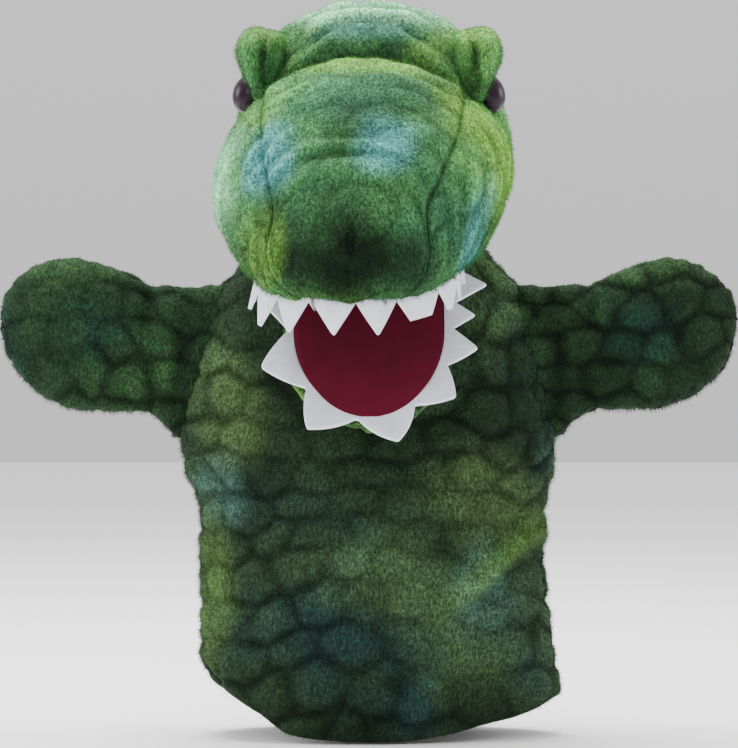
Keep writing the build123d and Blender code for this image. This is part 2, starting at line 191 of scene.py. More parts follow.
def through(table, at):
    """Monotone smooth curves through the rows of a table whose first column is the position."""
    t = np.array(sorted(table), float)
    x, y = t[:, 0], t[:, 1:]
    d = np.diff(y, axis=0) / np.diff(x)[:, None]
    m = np.zeros_like(y)
    inner = np.where(d[:-1] * d[1:] > 0, 2 * d[:-1] * d[1:] / (d[:-1] + d[1:] + 1e-12), 0)
    m[1:-1] = inner
    m[0], m[-1] = d[0], d[-1]
    at = np.clip(np.asarray(at, float), x[0], x[-1])
    k = np.clip(np.searchsorted(x, at) - 1, 0, len(x) - 2)
    h = (x[k + 1] - x[k])[..., None]
    s = ((at - x[k]) / (x[k + 1] - x[k]))[..., None]
    out = (
        (2 * s**3 - 3 * s**2 + 1) * y[k] + (s**3 - 2 * s**2 + s) * h * m[k]
        + (3 * s**2 - 2 * s**3) * y[k + 1] + (s**3 - s**2) * h * m[k + 1]
    )
    return [out[..., i] for i in range(y.shape[1])]


CELL_WARP = 0.16
ROW_WAVE = 0.5
CELL_JITTER = 0.50


def scales(u, v, wide, tall, seed):
    """Plush scales over a surface with coordinates u, v: how deep in its scale a point is, 0 at
    the edge and 1 inside, and a random number for each scale. Edges that run level are deeper."""
    wob = np.stack([u, v, 0 * u], -1)
    u = u + CELL_WARP * wide * noise(wob, wide * 0.9, seed + 50)
    v = v + CELL_WARP * tall * noise(wob, wide * 0.9, seed + 51)
    v = v + ROW_WAVE * tall * noise(wob, wide * 3.2, seed + 52)
    a, b = u / wide, v / tall
    row = np.floor(b).astype(int)
    best = np.full(a.shape, 9.0)
    second = np.full(a.shape, 9.0)
    key = np.zeros(a.shape)
    level = np.zeros(a.shape)
    for dr in (-2, -1, 0, 1, 2):
        r = row + dr
        shift = 0.5 * (r % 2)
        col = np.floor(a - shift).astype(int)
        for dc in (-1, 0, 1, 2):
            c = col + dc
            cx = c + 0.5 + shift + CELL_JITTER * (scramble(c, r, seed) - 0.5)
            cy = r + 0.5 + CELL_JITTER * (scramble(c, r, seed + 1) - 0.5)
            dist = np.hypot(a - cx, b - cy)
            nearer = dist < best
            level = np.where(nearer, np.abs(b - cy) / np.maximum(dist, 0.01), level)
            second = np.where(nearer, best, np.minimum(second, dist))
            key = np.where(nearer, scramble(c, r, seed + 2), key)
            best = np.where(nearer, dist, best)
    inside = np.clip((second - best) / 0.5, 0, 1)
    return 1 - (1 - inside) * (0.66 + 0.34 * smooth(level, 0.25, 0.85)), key


# ------------------------------------------------------------------ plush colours
PINE = np.array((0.0045, 0.0150, 0.0060))
FERN = np.array((0.0115, 0.0360, 0.0125))
GRASS = np.array((0.0450, 0.1250, 0.0330))
LIME = np.array((0.1600, 0.3500, 0.0450))
TEAL = np.array((0.0050, 0.0360, 0.0380))
SKY = np.array((0.0850, 0.3300, 0.3300))
MINT = np.array((0.1050, 0.4100, 0.1550))
# Painted light: a pale mint that lightens the left cheek and the forehead.
HIGHLIGHT_MINT = np.array((0.2400, 0.6000, 0.3300))


def mixed(a, b, share):
    return a + (b - a) * np.asarray(share)[..., None]


# How far the painted shade in the creases between the scales darkens the colour.
SCALE_CREASE_SHADE_TINT = np.array((0.06, 0.09, 0.11))


def dye_and_painted_light(p, depth, key, patches, light, seed, scale_crease_shade, wash):
    """Colour at p: dyed blotches of greens, named patches, and painted shade in the scale creases.
    """
    tone = layered(p, 46, seed) * 0.9 + light
    c = mixed(PINE, FERN, smooth(tone, -0.75, -0.05))
    c = mixed(c, GRASS, smooth(tone, -0.05, 0.55))
    c = mixed(c, LIME, smooth(tone + 0.25 * noise(p, 17, seed + 9), 0.45, 1.1))
    c = mixed(c, TEAL, (0.75 - wash) * smooth(layered(p, 38, seed + 20), 0.12, 0.6))
    c = mixed(c, MINT, wash * (0.8 + 0.5 * noise(p, 24, seed + 25)))
    ragged = 6 * noise(p, 14, seed + 30)
    for place, size, colour, strength in patches:
        d = np.linalg.norm((p - np.array(place)) / np.array(size), axis=-1) + ragged / 22
        c = mixed(c, colour, strength * (1 - smooth(d, 0.35, 1.25)))
    c = c * (0.82 + 0.36 * key)[..., None]
    # Painted shade in the creases at the scale edges, deepest where an edge runs level.
    edge = (1 - smooth(depth, 0.0, 1.0)) ** 1.2
    c = mixed(c, c * SCALE_CREASE_SHADE_TINT, scale_crease_shade * edge)
    return np.clip(c, 0, 1)


def dulled(tint, share):
    """The same colour, with part of it turned to a greyish olive of the same brightness."""
    grey = tint @ np.array((0.30, 0.60, 0.10))
    return tint * (1 - share) + grey[..., None] * np.array((1.0, 1.05, 0.80)) * share


# ------------------------------------------------------------------ mesh making
def make_mesh(name, verts, faces, material, tint):
    mesh = bpy.data.meshes.new(name)
    mesh.from_pydata((np.asarray(verts) * MM).tolist(), [], [tuple(map(int, f)) for f in faces])
    mesh.validate()
    if tint is not None:
        layer = mesh.color_attributes.new("tint", "BYTE_COLOR", "CORNER")
        loops = np.zeros(len(mesh.loops), np.int32)
        mesh.loops.foreach_get("vertex_index", loops)
        rgba = np.ones((len(loops), 4), np.float32)
        rgba[:, :3] = np.asarray(tint)[loops]
        layer.data.foreach_set("color", rgba.ravel())
    mesh.polygons.foreach_set("use_smooth", [True] * len(mesh.polygons))
    obj = bpy.data.objects.new(name, mesh)
    bpy.context.scene.collection.objects.link(obj)
    mesh.materials.append(material)
    return obj


def sheet_faces(rows, cols, wrap):
    faces = []
    last = cols if wrap else cols - 1
    for i in range(rows - 1):
        for j in range(last):
            k = (j + 1) % cols
            faces.append((i * cols + j, i * cols + k, (i + 1) * cols + k, (i + 1) * cols + j))
    return faces


def grid_piece(name, P, material, tint=None, thick=0.0, wrap=False, flip=False):
    """A sheet from a grid of points, with its thickness behind it."""
    rows, cols = P.shape[:2]
    faces = sheet_faces(rows, cols, wrap)
    if flip:
        faces = [f[::-1] for f in faces]
    tint = None if tint is None else tint.reshape(-1, 3)
    obj = make_mesh(name, P.reshape(-1, 3), faces, material, tint)
    if thick:
        shell = obj.modifiers.new("thickness", "SOLIDIFY")
        shell.thickness = thick * MM
        shell.offset = -1
        shell.use_even_offset = False
    return obj


# ------------------------------------------------------------------ materials
def new_material(name):
    mat = bpy.data.materials.new(name)
    mat.use_nodes = True
    return mat, mat.node_tree, mat.node_tree.nodes["Principled BSDF"]


def plush_material(name):
    """Short pile: streaks of lighter and darker fibre over the dyed colour, painted shade between
    the clumps of pile, and a soft sheen.
    """
    mat, tree, bsdf = new_material(name)
    link = tree.links.new
    coords = add_node(tree, "ShaderNodeTexCoord")
    stretch = add_node(tree, "ShaderNodeMapping")
    stretch.inputs["Scale"].default_value = (1.0, 1.0, 0.58)
    link(coords.outputs["Object"], stretch.inputs["Vector"])
    fibre = add_node(tree, "ShaderNodeTexNoise", Scale=1700.0, Detail=2.0, Roughness=0.6)
    clump = add_node(tree, "ShaderNodeTexNoise", Scale=950.0, Detail=2.0, Roughness=0.6)
    link(stretch.outputs["Vector"], fibre.inputs["Vector"])
    link(stretch.outputs["Vector"], clump.inputs["Vector"])
    dyed = add_node(tree, "ShaderNodeVertexColor", layer_name="tint").outputs["Color"]
    streak = ranged(tree, fibre.outputs["Fac"], (0.35, 0.65), (0.58, 1.52))
    # Painted shade: darker in the gaps between the clumps of pile.
    clump_shade = ranged(tree, clump.outputs["Fac"], (0.36, 0.64), (0.60, 1.42))
    link(brightened(tree, dyed, combined(tree, "MULTIPLY", streak, clump_shade)), bsdf.inputs["Base Color"])
    bsdf.inputs["Roughness"].default_value = 0.85
    bsdf.inputs["Specular IOR Level"].default_value = 0.12
    bsdf.inputs["Sheen Weight"].default_value = 0.10
    bsdf.inputs["Sheen Roughness"].default_value = 0.45
    bsdf.inputs["Sheen Tint"].default_value = (0.45, 0.8, 0.4, 1)
    height = combined(tree, "ADD", fibre.outputs["Fac"], clump.outputs["Fac"])
    relief(tree, bsdf, height, 0.55, 0.0009)
    return mat


def felt_material(name, colour, fuzz=0.35, dark=0.82):
    """Pressed fibres lying in every direction."""
    mat, tree, bsdf = new_material(name)
    link = tree.links.new
    coords = add_node(tree, "ShaderNodeTexCoord")
    warp = add_node(tree, "ShaderNodeTexNoise", Scale=260.0, Detail=2.0)
    link(coords.outputs["Object"], warp.inputs["Vector"])
    shift = add_node(tree, "ShaderNodeVectorMath", operation="SCALE")
    shift.inputs["Scale"].default_value = 0.004
    link(warp.outputs["Color"], shift.inputs[0])
    moved = add_node(tree, "ShaderNodeVectorMath", operation="ADD")
    link(coords.outputs["Object"], moved.inputs[0])
    link(shift.outputs["Vector"], moved.inputs[1])
    fibre = add_node(tree, "ShaderNodeTexNoise", Scale=1900.0, Detail=4.0, Roughness=0.65)
    blotch = add_node(tree, "ShaderNodeTexNoise", Scale=130.0, Detail=3.0)
    link(moved.outputs["Vector"], fibre.inputs["Vector"])
    link(coords.outputs["Object"], blotch.inputs["Vector"])
    grain = ranged(tree, fibre.outputs["Fac"], (0.3, 0.7), (dark, 1.12))
    patch = ranged(tree, blotch.outputs["Fac"], (0.3, 0.7), (0.9, 1.08))
    rgb = add_node(tree, "ShaderNodeRGB")
    rgb.outputs[0].default_value = (*colour, 1)
    felt = brightened(tree, rgb.outputs[0], combined(tree, "MULTIPLY", grain, patch))
    link(felt, bsdf.inputs["Base Color"])
    bsdf.inputs["Roughness"].default_value = 0.92
    bsdf.inputs["Specular IOR Level"].default_value = 0.15
    bsdf.inputs["Sheen Weight"].default_value = fuzz
    bsdf.inputs["Sheen Roughness"].default_value = 0.5
    relief(tree, bsdf, fibre.outputs["Fac"], 0.5, 0.0004)
    return mat


def eye_material():
    mat, tree, bsdf = new_material("eye_gloss")
    link = tree.links.new
    coords = add_node(tree, "ShaderNodeTexCoord")
    cloud = add_node(tree, "ShaderNodeTexNoise", Scale=220.0, Detail=2.0)
    link(coords.outputs["Object"], cloud.inputs["Vector"])
    ramp = add_node(tree, "ShaderNodeValToRGB")
    ramp.color_ramp.elements[0].color = (0.006, 0.002, 0.007, 1)
    ramp.color_ramp.elements[1].color = (0.024, 0.006, 0.020, 1)
    link(cloud.outputs["Fac"], ramp.inputs["Fac"])
    link(ramp.outputs["Color"], bsdf.inputs["Base Color"])
    bsdf.inputs["Roughness"].default_value = 0.28
    bsdf.inputs["Specular IOR Level"].default_value = 0.18
    return mat


PLUSH = plush_material("plush")
MOUTH_FELT = felt_material("mouth_felt", (0.100, 0.0008, 0.015), 0.06)
TEETH_FELT = felt_material("teeth_felt", (0.69, 0.73, 0.80), 0.2, 0.86)
LINING = felt_material("lining_weave", (0.018, 0.022, 0.020), 0.1)
FIBREFILL = felt_material("fibrefill", (0.80, 0.80, 0.78), 0.3)
BOARD = felt_material("board_sheet", (0.62, 0.60, 0.55), 0.0)
# The thread is near black, as dark as the shaded slit at the nose pinch, so its colour is partly
# painted shade.
THREAD = felt_material("thread", (0.004, 0.012, 0.004), 0.0)
EYE = eye_material()


PILE_DENSITY = 1.9  # fibres per square millimetre
PILE_LEAN = 0.35  # how far the fibres hang down, as a share of their length
HAIR_GROWTH = 4  # a fibre comes out this many times as long as its settings say


def give_pile(obj, length, seed):
    """Short upright fibres over a plush piece."""
    area = sum(f.area for f in obj.data.polygons) * 1e6
    reach = length * MM / HAIR_GROWTH
    system = obj.modifiers.new("pile", "PARTICLE_SYSTEM").particle_system
    system.seed = seed
    s = system.settings
    s.type = "HAIR"
    s.use_advanced_hair = True
    s.count = int(area * PILE_DENSITY)
    s.hair_step = 2
    s.display_step = 2
    s.render_step = 2
    s.emit_from = "FACE"
    s.use_emit_random = True
    s.use_even_distribution = True
    s.distribution = "RAND"
    s.normal_factor = reach
    s.factor_random = 0.30 * reach
    s.object_align_factor = (0, 0, -PILE_LEAN * reach)
    s.root_radius = 0.11
    s.tip_radius = 0.02
    s.radius_scale = 0.001
    s.length_random = 0.5
    s.roughness_endpoint = 0.0
    obj.modifiers.move(len(obj.modifiers) - 1, 0)


# ------------------------------------------------------------------ surfaces
def surface(fn, U, V, step=0.004):
    """Points of fn over U (columns) and V (rows), and their outward normals."""
    P = fn(U, V)
    du = fn(U + step, V) - fn(U - step, V)
    dv = fn(U, V + step) - fn(U, V - step)
    n = np.cross(du, dv)
    return P, n / np.maximum(np.linalg.norm(n, axis=-1, keepdims=True), 1e-9)


def crease(x, z, a, b, width):
    """1 along the segment from a to b in a plane, fading over width and towards the ends."""
    ax, az = a
    bx, bz = b
    along = ((x - ax) * (bx - ax) + (z - az) * (bz - az)) / ((bx - ax) ** 2 + (bz - az) ** 2)
    t = np.clip(along, 0, 1)
    d = np.hypot(x - ax - t * (bx - ax), z - az - t * (bz - az))
    return bump(d, width) * (0.25 + 0.75 * np.sin(math.pi * np.clip(t, 0.02, 0.98)))


def folded(raised, x, z, folds):
    """The surface raised or sunk along each fold: from, to, width and height."""
    for a, b, width, height in folds:
        raised = raised + height * crease(x, z, a, b, width)
    return raised


def dressed(P, U, V, wide, tall, height, patches, light, seed, rough, scale_crease_shade=0.6, wash=0.0):
    """A base surface with scales, unevenness, and a dyed colour with painted shade in the scale
    creases. U and V are millimetres over the fabric.
    """
    depth, key = scales(U, V, wide, tall, seed)
    shown = smooth(layered(P, 40, seed + 7), -0.75, 0.35)
    ragged = np.clip(depth + 0.16 * noise(P, 5.5, seed + 8), 0, 1)
    pillow = 1 - (1 - smooth(ragged, 0.0, 1.0) ** 0.8) * (0.35 + 0.65 * shown)
    raised = height * (pillow - 0.55) + rough * layered(P, 30, seed + 3)
    raised = raised + 0.35 * noise(P, 7, seed + 4)
    # Dyed colour with painted shade in the scale creases and the painted light of some patches.
    tint = dye_and_painted_light(P, ragged, key, patches, light, seed + 5, scale_crease_shade * (0.25 + 0.75 * shown), wash)
    return raised, tint


# ------------------------------------------------------------------ torso
SLEEVE = [  # height, half width, half depth, middle from front to back
    (0, 69, 37.5, 0), (50, 66.5, 38, 0), (84, 66, 36.5, 0.5), (97, 69, 35.5, 1),
    (110, 72, 34.5, 2), (130, 69, 31, 4), (150, 66, 26.5, 7), (168, 60, 25.5, 8.5),
    (178, 51, 23.5, 10), (187, 45, 22, 10),
]
HEM = [  # how high the hem's edge is at each x
    (-72, 30), (-63, 24), (-58, 19), (-43.5, 10.8), (-30.7, 3), (-15, 0.8), (0, 0.2),
    (14, 0.6), (30, 3), (45, 6.5), (60, 10.8), (70, 16), (76, 19),
]
TORSO_TOP = 186.0
GIRTH_X, GIRTH_Y = 66, 36  # the sleeve's half width and half depth where it is measured round
arc = np.linspace(0, 2 * math.pi, 721)
arc_middle = arc[:-1] + 0.004
arc_step = np.hypot(GIRTH_X * np.sin(arc_middle), GIRTH_Y * np.cos(arc_middle)) * (arc[1] - arc[0])
arc_length = np.concatenate([[0], np.cumsum(arc_step)])


def torso_surface(U, V):
    """U is the angle round the sleeve from its right side seam by way of the back, V goes from
    0 at the hem to 1 at the neck."""
    x_hem = SLEEVE[0][1] * np.cos(U)
    (hem,) = through(HEM, x_hem)
    hem = hem + (4 - 0.45 * hem) * smooth(np.sin(U), 0, 0.5)
    z = hem + (TORSO_TOP - hem) * V
    half, deep, mid = through(SLEEVE, z)
    flare = 5.5 * (1 - smooth(z, 14, 72)) * smooth(np.cos(U), 0.3, 1.0)
    narrow = 2.2 * (1 - smooth(z, 20, 110)) * smooth(-np.cos(U), 0.5, 1.0)
    return np.stack([(half + flare - narrow) * np.cos(U), mid + deep * np.sin(U), z], -1)


# The LIME patches at the left edge, at x -52 and -60, are painted light on that edge.
TORSO_PATCHES = [  # place, size, colour, strength
    ((-56, -25, 94), (13, 40, 16), SKY, 0.22), ((-30, -35, 88), (26, 40, 15), TEAL, 0.20),
    ((-14, -38, 38), (20, 30, 18), PINE, 0.55), ((-12, -38, 36), (26, 30, 18), TEAL, 0.45),
    ((43, -30, 54), (14, 40, 22), SKY, 0.16), ((62, -30, 24), (12, 40, 16), TEAL, 0.5),
    ((44, -30, 92), (26, 40, 22), LIME, 0.14), ((-52, -25, 122), (16, 40, 26), LIME, 0.20),
    ((-60, -20, 55), (12, 40, 34), LIME, 0.12), ((34, -36, 34), (20, 30, 18), GRASS, 0.45),
    ((6, -38, 62), (26, 30, 20), GRASS, 0.5), ((2, -30, 104), (26, 30, 14), PINE, 0.55),
    ((58, -20, 128), (18, 40, 24), PINE, 0.6), ((0, 38, 60), (40, 20, 26), LIME, 0.35),
    ((-30, 36, 120), (26, 20, 24), TEAL, 0.6), ((35, 36, 110), (26, 20, 24), GRASS, 0.6),
    ((45, -28, 12), (22, 30, 12), PINE, 0.5),
]
LONG_FOLD = ((70, 86), (25, 46))
FRONT_FOLDS = [
    (*LONG_FOLD, 5.5, 3.8), ((66, 73), (32, 42), 5, -2.6), ((40, 112), (12, 96), 4, -1.8),
    ((48, 120), (20, 103), 5, 1.4), ((-62, 40), (-40, 12), 6, 1.6), ((-40, 60), (-48, 20), 5, -1.5),
    ((-10, 30), (30, 14), 5, -1.6),
]
ARMPIT_FOLDS = [((74, 116), (48, 104)), ((75, 111), (52, 92)), ((72, 121), (50, 119))]


def torso_panel(name, first, last, front):
    U, V = np.meshgrid(np.linspace(first, last, 118), np.linspace(0, 1, 122))
    P, n = surface(torso_surface, U, V)
    u = np.interp(U, arc, arc_length)
    x, z = P[..., 0], P[..., 2]
    raised, tint = dressed(P, u, z + 2, 19.0, 14.0, 1.7, TORSO_PATCHES, -0.27, 11, 1.5, 0.72)
    seam = np.minimum(np.abs(U - first), np.abs(U - last)) * 40
    pucker = np.sin(z * 0.85 + 2 * noise(P, 12, 4))
    raised = raised - 2.2 * bump(seam, 1.6) + 0.5 * bump(seam - 6, 3.5) * pucker
    if front:
        raised = folded(raised, x, z, FRONT_FOLDS)
        raised = raised - 1.4 * smooth(z, 112, 128) * (1 - smooth(np.abs(x), 34, 50))
    for high, low in ARMPIT_FOLDS:
        raised = folded(raised, np.abs(x), z, [(high, low, 2.8, -2.0)])
        raised = folded(raised, np.abs(x), z + 4, [(high, low, 3.2, 1.0)])
    raised = raised * smooth(z, -2, 3) * (1 - smooth(z, 178, TORSO_TOP))
    P = P + n * raised[..., None]
    hem_roll = bump(V * 180, 2.2)[..., None] * np.stack([0.02 * x, 0.04 * P[..., 1], 0 * x], -1)
    P = P - hem_roll
    P[..., 2] = np.maximum(P[..., 2], 0.2)
    tint = dulled(tint, 0.30)
    if front:
        # Painted light: LIME along the ridge of the long fold and along the left edge.
        wander = 3.5 * noise(P, 11, 14)
        tint = mixed(tint, LIME, 0.22 * crease(x, z + wander, *LONG_FOLD, 5.0))
        tint = mixed(tint, LIME, 0.10 * crease(x + wander, z, (-61, 95), (-60, 30), 5))
    # Painted shade in the sunk side seams.
    tint = tint * (0.45 + 0.55 * (1 - bump(seam, 2.2)))[..., None]
    obj = grid_piece(name, P, PLUSH, tint, thick=2.4)
    give_pile(obj, 1.7, 3 if front else 4)
    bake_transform(obj)
    return obj


front_panel = torso_panel("body_front_plush", math.pi, 2 * math.pi, True)
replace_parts(front_panel, "body_front_panel")
back_panel = torso_panel("body_back_plush", 0, math.pi, False)
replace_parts(back_panel, "body_back_panel")

# ------------------------------------------------------------------ head
CREASE_Y, CREASE_Z = -22.0, 184.0  # the fold at the back of the mouth
UPPER_DROOP = math.radians(12.5)  # how far each jaw points down from level
LOWER_DROOP = math.radians(52)
NAPE_RISE = math.radians(29)
eye_low, eye_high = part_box("eye_left")
EYE_PLACE = [(a + b) / 2 / MM for a, b in zip(eye_low, eye_high)]
HEAD = [  # y, half width, height of the widest line, height of the top, depth below the widest line
    (-119.6, 0.8, 171, 177, 8.8), (-118.4, 9, 171, 183, 9.2), (-114.5, 21.5, 174, 196, 13),
    (-105, 34, 180, 212.5, 21), (-90, 43.5, 189, 230, 31), (-74, 50.5, 197, 244.5, 35),
    (-62, 53.5, 201, 250, 36.5), (-52, 54, 203, 253, 37), (-46, 53, 203, 250.5, 38),
    (-41, 52, 202, 251.5, 40), (-35, 51, 201, 262, 42), (-24, 50.5, 200, 273, 48),
    (-8, 50.5, 200, 279.5, 60), (12, 50, 201, 277.5, 60), (30, 42, 206, 268, 60),
    (40, 28, 215, 253, 60), (43.5, 13, 226, 243, 40), (44.6, 1.0, 232, 234.5, 20),
]
GUSSET = [  # y, half width of the gusset
    (-120, 20), (-114, 24), (-105, 29), (-90, 33), (-75, 35.5), (-60, 36.5), (-45, 36.5),
    (-20, 36), (10, 34.5), (45, 33),
]
SEAM_AT = 0.42  # where the gusset's seam and the lip's edge are along U
LIP_AT = 0.96
NOSE_PINCH = 184.0  # height of the stitch at the nose
NOSE_END, HEAD_LENGTH = -119.5, 164.0
LIP_TURN = 5.5  # how far the lip's edge is turned in
SIDES_END = 112.0  # the side panels stop this far forward, and the gusset goes on down to the lip


def head_bend(P):
    """The snout points a little to the left, and its right cheek sits higher than its left one."""
    out = P.copy()
    share = P[..., 0] / 50 * smooth(-P[..., 1], -20, 20)
    low = smooth(-P[..., 2], -214, -186)
    out[..., 0] -= 6.5 * smooth(-P[..., 1], 10, 118)
    out[..., 0] -= share * low * np.where(P[..., 0] > 0, 4.5, 1.5)
    out[..., 0] += np.clip(share, 0, 2) * 4.0 * bump(P[..., 2] - 227, 15)
    return out


def head_floor(y):
    ahead = CREASE_Z + (y - CREASE_Y) * math.tan(UPPER_DROOP)
    behind = CREASE_Z + 2 + (y - CREASE_Y) * math.tan(NAPE_RISE)
    return np.where(y < CREASE_Y, ahead, behind)


def crown(y):
    """How square the head's cross section is above its widest line: less means squarer."""
    return 0.94 - 0.46 * smooth(y, -27, -8)


def head_angles(y):
    half, widest, top, below = through(HEAD, y)
    floor = head_floor(y)
    rise = np.clip((floor - widest) / np.maximum(top - widest, 1), 0, 1) ** (1 / crown(y))
    drop = np.where(floor < widest, (floor - widest) / below, rise)
    end = np.arccos(np.clip(drop, -0.995, 0.97))
    (gusset,) = through(GUSSET, y)
    seam = np.minimum(np.arcsin(np.clip(gusset / np.maximum(half, 1), 0, 0.97)), end)
    return half, widest, top, below, end, seam + (end - seam) * smooth(-y, SIDES_END - 6, SIDES_END)


def station(V):
    """Place along the head for V from 0 at the nose to 1 at the nape, closer near the ends."""
    turn = (1 - np.cos(math.pi * np.clip(V, 0, 1))) / 2
    return NOSE_END + HEAD_LENGTH * (0.55 * turn + 0.45 * np.clip(V, 0, 1))


def head_surface(U, V):
    """U from -1 at the left lip over the top to 1 at the right lip; past LIP_AT it turns in
    under the edge."""
    y = station(V)
    half, widest, top, below, end, seam = head_angles(y)
    side = np.sign(U) + (U == 0)
    t = np.abs(U)
    inner = seam * t / SEAM_AT
    outer = seam + (end - seam) * (t - SEAM_AT) / (LIP_AT - SEAM_AT)
    angle = np.where(t < SEAM_AT, inner, np.minimum(outer, end))
    c, s = np.cos(angle), np.sin(angle)
    x = half * s
    z = widest + np.where(c > 0, (top - widest) * np.abs(c) ** crown(y), -below * np.abs(c))
    under = np.clip((t - LIP_AT) / (1 - LIP_AT), 0, 1)
    away_y = np.clip(y, -72, 14)
    reach = np.hypot(x, y - away_y) + 1e-6
    pull = np.minimum(LIP_TURN * under, reach * 0.9) / reach
    x2 = x * (1 - pull)
    y2 = y + (away_y - y) * pull
    z2 = z - 1.1 * np.sin(math.pi * np.clip(under * 1.2, 0, 1)) + 0.8 * under
    return np.stack([side * x2, y2, z2], -1)


# Painted light: the pale mint patches on the left cheek and the forehead, and the LIME patches on
# the right cheek and along the snout top.
HEAD_PATCHES = [
    ((-54, -58, 202), (15, 38, 32), HIGHLIGHT_MINT, 1.0), ((50, -55, 212), (14, 34, 24), LIME, 0.80),
    ((-30, -85, 213), (15, 24, 14), SKY, 0.90), ((10, -84, 216), (14, 24, 14), SKY, 0.85),
    ((44, -78, 192), (10, 14, 20), SKY, 0.55), ((-8, -112, 176), (44, 24, 18), PINE, 1.0),
    ((-8, -108, 190), (30, 18, 16), PINE, 0.70), ((16, -104, 198), (12, 16, 10), GRASS, 0.6),
    ((-4, -58, 254), (46, 14, 9), LIME, 0.65), ((40, -70, 236), (14, 20, 16), LIME, 0.75),
    ((-30, -104, 180), (9, 22, 16), LIME, 0.45), ((-46, -74, 188), (12, 24, 14), GRASS, 0.6),
    ((0, -12, 277), (38, 20, 13), HIGHLIGHT_MINT, 0.90), ((-6, -28, 268), (26, 8, 8), SKY, 0.45),
    ((0, 38, 240), (30, 20, 18), GRASS, 0.4), ((34, -60, 246), (12, 14, 10), GRASS, 0.5),
]
HEAD_ROWS = np.linspace(0.0015, 0.9985, 128)


def head_panel(name, first, last, cols, rows=HEAD_ROWS):
    """One of the head's three panels, between two places along U."""
    U, V = np.meshgrid(np.linspace(first, last, cols), rows)
    P, n = surface(head_surface, U, V, 0.002)
    y = station(V)
    half, _, _, _, end, seam_angle = head_angles(y)
    t = np.abs(U)
    above = seam_angle * (1 - t / SEAM_AT)
    beside = (end - seam_angle) * (t - SEAM_AT) / (LIP_AT - SEAM_AT)
    seam_gap = np.where(t < SEAM_AT, above, beside) * np.minimum(half, 52)
    x, z = P[..., 0], P[..., 2]
    u = np.where(t < SEAM_AT, t / SEAM_AT * 38, 38 + (t - SEAM_AT) / (1 - SEAM_AT) * 62)
    u, v = u * np.sign(U), y * 1.12 + 0.25 * z
    raised, tint = dressed(P, u, v, 16.5, 12.5, 0.85, HEAD_PATCHES, 0.55, 31, 0.9, 0.36, 0.24)
    ripple = y + 7 * noise(P, 26, 46) + 0.004 * x**2
    wave = np.sin(ripple * 0.62) * smooth(noise(P, 22, 47), -0.5, 0.5)
    raised = raised + 0.75 * wave
    # Painted light and shade: lighter on the ripples' crests, darker in their troughs, with tone
    # that differs at random on top.
    tint = tint * (0.92 + 0.24 * wave + 0.22 * noise(P, 15, 48))[..., None]
    on_gusset = (t < SEAM_AT) * smooth(seam_gap, 0, 5)
    raised = raised - 1.5 * bump(seam_gap, 1.8)
    raised = raised + 0.55 * bump(seam_gap - 4.5, 3.2) * np.sin(y * 0.95 + 3 * noise(P, 14, 41))
    fold = 0.5 + 0.5 * noise(np.stack([x, 0 * x, 0 * x], -1), 12, 44)
    brow_fold = y + 38 + 1.5 * fold
    crown_fold = y + 27.5 - 2.5 * fold
    raised = raised - on_gusset * (3.0 * bump(brow_fold, 3.0) - 1.2 * bump(y + 55, 6))
    raised = raised - on_gusset * (1.6 + 1.0 * fold) * bump(crown_fold, 2.2)
    raised = raised - 0.9 * on_gusset * bump(y + 72 + 3 * fold, 2.4) * (0.3 + fold)
    pinch = bump(x, 1.7) * bump(z - NOSE_PINCH, 5.5) * (y < -60)
    raised = raised - 3.4 * pinch
    raised = raised + 0.9 * bump(np.abs(x) - 6, 4) * bump(z - NOSE_PINCH, 7) * (y < -90)
    socket = np.hypot(P[..., 1] - EYE_PLACE[1], z - EYE_PLACE[2])
    raised = raised - 1.2 * bump(socket, 8) * (np.abs(x) > 25)
    edge = smooth(t, LIP_AT, 1.0)
    P = P + n * (raised * (1 - 0.7 * edge) * smooth(y, -119.6, -117))[..., None]
    # Painted shade: darker in the sunk gusset seams, the nose pinch, and the folds behind the snout
    # and at the crown.
    dark = np.maximum(bump(seam_gap, 1.8) * 0.28, 0.9 * pinch)
    dark = np.maximum(dark, on_gusset * 0.80 * bump(brow_fold, 4.0))
    dark = np.maximum(dark, on_gusset * 0.50 * bump(crown_fold, 2.2))
    tint = tint * (1 - dark)[..., None]
    P[-1, :, 0] = 0  # the ends close on the middle line
    if rows is HEAD_ROWS:
        P[0, :, 0] = 0
    obj = grid_piece(name, head_bend(P), PLUSH, tint, thick=2.0)
    give_pile(obj, 1.5, 20 + cols)
    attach(obj, "head")
    return obj


_, _, _, _, lip_angle, seam_angle = head_angles(station(HEAD_ROWS))
side_rows = HEAD_ROWS[(lip_angle - seam_angle > 0.01) & (station(HEAD_ROWS) > -SIDES_END)]
gusset = head_panel("head_gusset_plush", -SEAM_AT, SEAM_AT, 66)
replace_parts(gusset, "head_gusset")
left_side = head_panel("head_side_left_plush", -1, -SEAM_AT, 64, side_rows)
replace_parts(left_side, "head_side_left")
right_side = head_panel("head_side_right_plush", SEAM_AT, 1, 64, side_rows)
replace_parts(right_side, "head_side_right")

# ------------------------------------------------------------------ neck
NECK_FOOT = 181.5


def neck_surface(U, V):
    """A soft tube from the top of the sleeve up into the head, higher at the nape."""
    x, y = np.cos(U), np.sin(U)
    depth = 10 + (21 + 10.5 * V * smooth(y, 0, 0.4)) * y
    tall = head_floor(depth) + 12.5 - NECK_FOOT - 12 * smooth(-y, -0.2, 0.8)
    bulge = 1.5 * np.sin(math.pi * V)
    return np.stack([(43.5 + 3.5 * V + bulge) * x, depth + bulge * y, NECK_FOOT + tall * V], -1)


